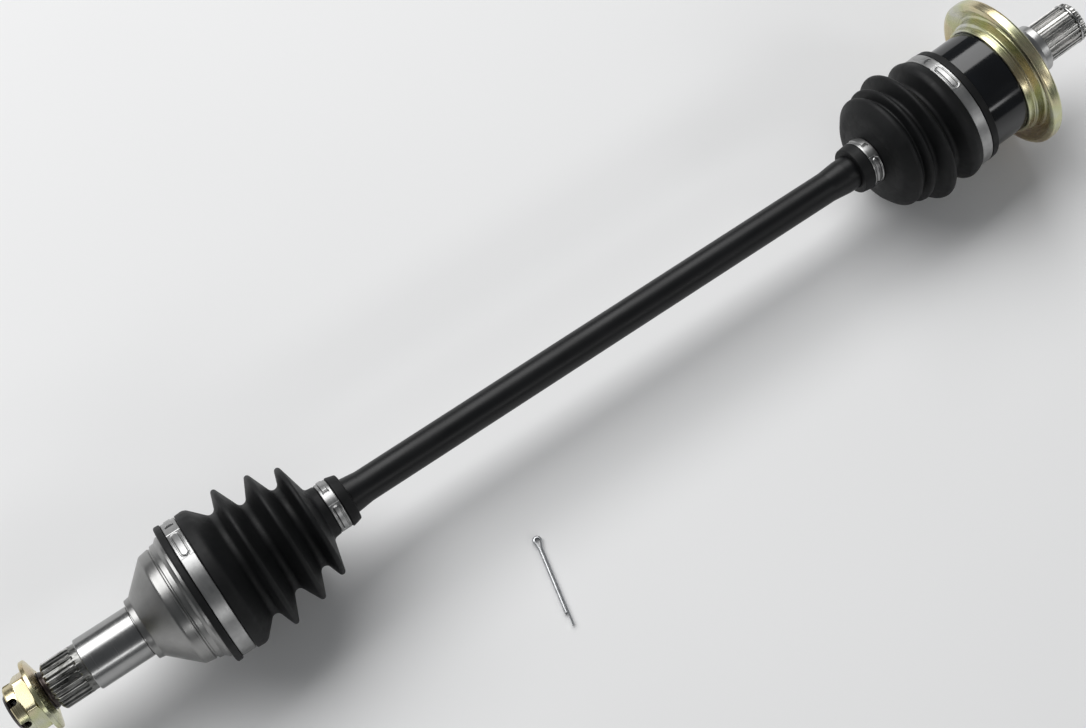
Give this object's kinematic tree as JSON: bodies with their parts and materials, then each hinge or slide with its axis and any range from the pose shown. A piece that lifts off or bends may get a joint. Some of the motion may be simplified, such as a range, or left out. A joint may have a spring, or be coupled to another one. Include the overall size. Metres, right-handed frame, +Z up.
{
  "type": "cv axle",
  "caption": "Drive shaft with a fixed ball joint and a plunging ball joint, rubber boots, band clamps, castle nut, hub washer, dust shield, splined stubs and a loose split pin.",
  "frame": {"origin": "centre of the wheel stub's end face", "axes": "+X along the axle from the wheel end to the gearbox end, +Z up as the axle lies on a table"},
  "size_m": [0.7276, 0.1682, 0.0978],
  "materials": {
    "black_paint": "satin",
    "machined_steel": "ground",
    "yellow_zinc": "yellow zinc plate",
    "rubber": "matt",
    "stainless": "satin",
    "hard_steel": "ground",
    "zinc": "zinc plate"
  },
  "bodies": {
    "axle_shaft": {"axle_shaft": "black_paint", "outer_inner_race": "hard_steel", "outer_race_snap_ring": "hard_steel", "inner_inner_race": "hard_steel", "inner_race_snap_ring": "hard_steel", "outer_boot_clamp_small": "stainless", "inner_boot_clamp_small": "stainless"},
    "outer_ball_upper": {"outer_ball_1": "hard_steel"},
    "outer_cage": {"outer_cage": "hard_steel", "outer_ball_2": "hard_steel", "outer_ball_3": "hard_steel", "outer_ball_5": "hard_steel", "outer_ball_6": "hard_steel"},
    "outer_ball_lower": {"outer_ball_4": "hard_steel"},
    "outer_housing": {"outer_joint_housing": "machined_steel", "outer_boot": "rubber", "outer_boot_clamp_large": "stainless"},
    "hub_washer": {"hub_washer": "yellow_zinc"},
    "hub_nut": {"hub_nut": "yellow_zinc"},
    "inner_cage": {"inner_cage": "hard_steel", "inner_ball_2": "hard_steel", "inner_ball_3": "hard_steel", "inner_ball_4": "hard_steel", "inner_ball_5": "hard_steel", "inner_ball_6": "hard_steel"},
    "inner_ball_side": {"inner_ball_1": "hard_steel"},
    "inner_housing": {"inner_joint_housing": "black_paint", "dust_shield": "yellow_zinc", "inner_boot": "rubber", "inner_boot_clamp_large": "stainless", "inner_retaining_ring": "hard_steel", "stub_circlip": "hard_steel"},
    "cotter_pin": {"cotter_pin": "zinc"}
  },
  "joints": [
    {"name": "outer_pitch", "type": "hinge", "parent": "axle_shaft", "child": "outer_ball_upper", "pos_m": [0.109, 0, 0], "axis": [0, 1, 0], "range_deg": [-16, 16], "deforming": ["outer_boot"]},
    {"name": "outer_yaw", "type": "hinge", "parent": "outer_ball_upper", "child": "outer_cage", "pos_m": [0.109, 0, 0], "axis": [0, 0, 1], "range_deg": [-16, 16]},
    {"name": "outer_yaw_second_half", "type": "hinge", "parent": "outer_cage", "child": "outer_ball_lower", "pos_m": [0.109, 0, 0], "axis": [0, 0, 1], "range_deg": [-16.2, 16.2]},
    {"name": "outer_pitch_second_half", "type": "hinge", "parent": "outer_ball_lower", "child": "outer_housing", "pos_m": [0.109, 0, 0], "axis": [0, 1, 0], "range_deg": [-16.2, 16.2]},
    {"name": "washer_slide", "type": "slide", "parent": "outer_housing", "child": "hub_washer", "axis": [-1, 0, 0], "range_m": [0, 0.0151]},
    {"name": "nut_turn", "type": "hinge", "parent": "hub_washer", "child": "hub_nut", "pos_m": [0.0085, 0, 0], "axis": [-1, 0, 0], "range_deg": [0, 3600]},
    {"name": "inner_pitch", "type": "hinge", "parent": "axle_shaft", "child": "inner_cage", "pos_m": [0.651, 0, 0], "axis": [0, 1, 0], "range_deg": [-5.75, 14.25], "deforming": ["inner_boot"]},
    {"name": "inner_pitch_second_half", "type": "hinge", "parent": "inner_cage", "child": "inner_ball_side", "pos_m": [0.651, 0, 0], "axis": [0, 1, 0], "range_deg": [-5.95, 14.45]},
    {"name": "plunge", "type": "slide", "parent": "inner_ball_side", "child": "inner_housing", "axis": [0.989, 0, 0.1478], "range_m": [-0.01, 0.01]},
    {"name": "pin_lift", "type": "slide", "parent": "axle_shaft", "child": "cotter_pin", "axis": [0, 0, 1], "range_m": [0, 0.1]}
  ],
  "couplings": [
    {"joint": "outer_yaw_second_half", "follows": "outer_yaw", "ratio": 1},
    {"joint": "outer_pitch_second_half", "follows": "outer_pitch", "ratio": 1},
    {"joint": "inner_pitch_second_half", "follows": "inner_pitch", "ratio": 1},
    {"joint": "washer_slide", "follows": "nut_turn", "m_per_rad": 0.00023873}
  ]
}
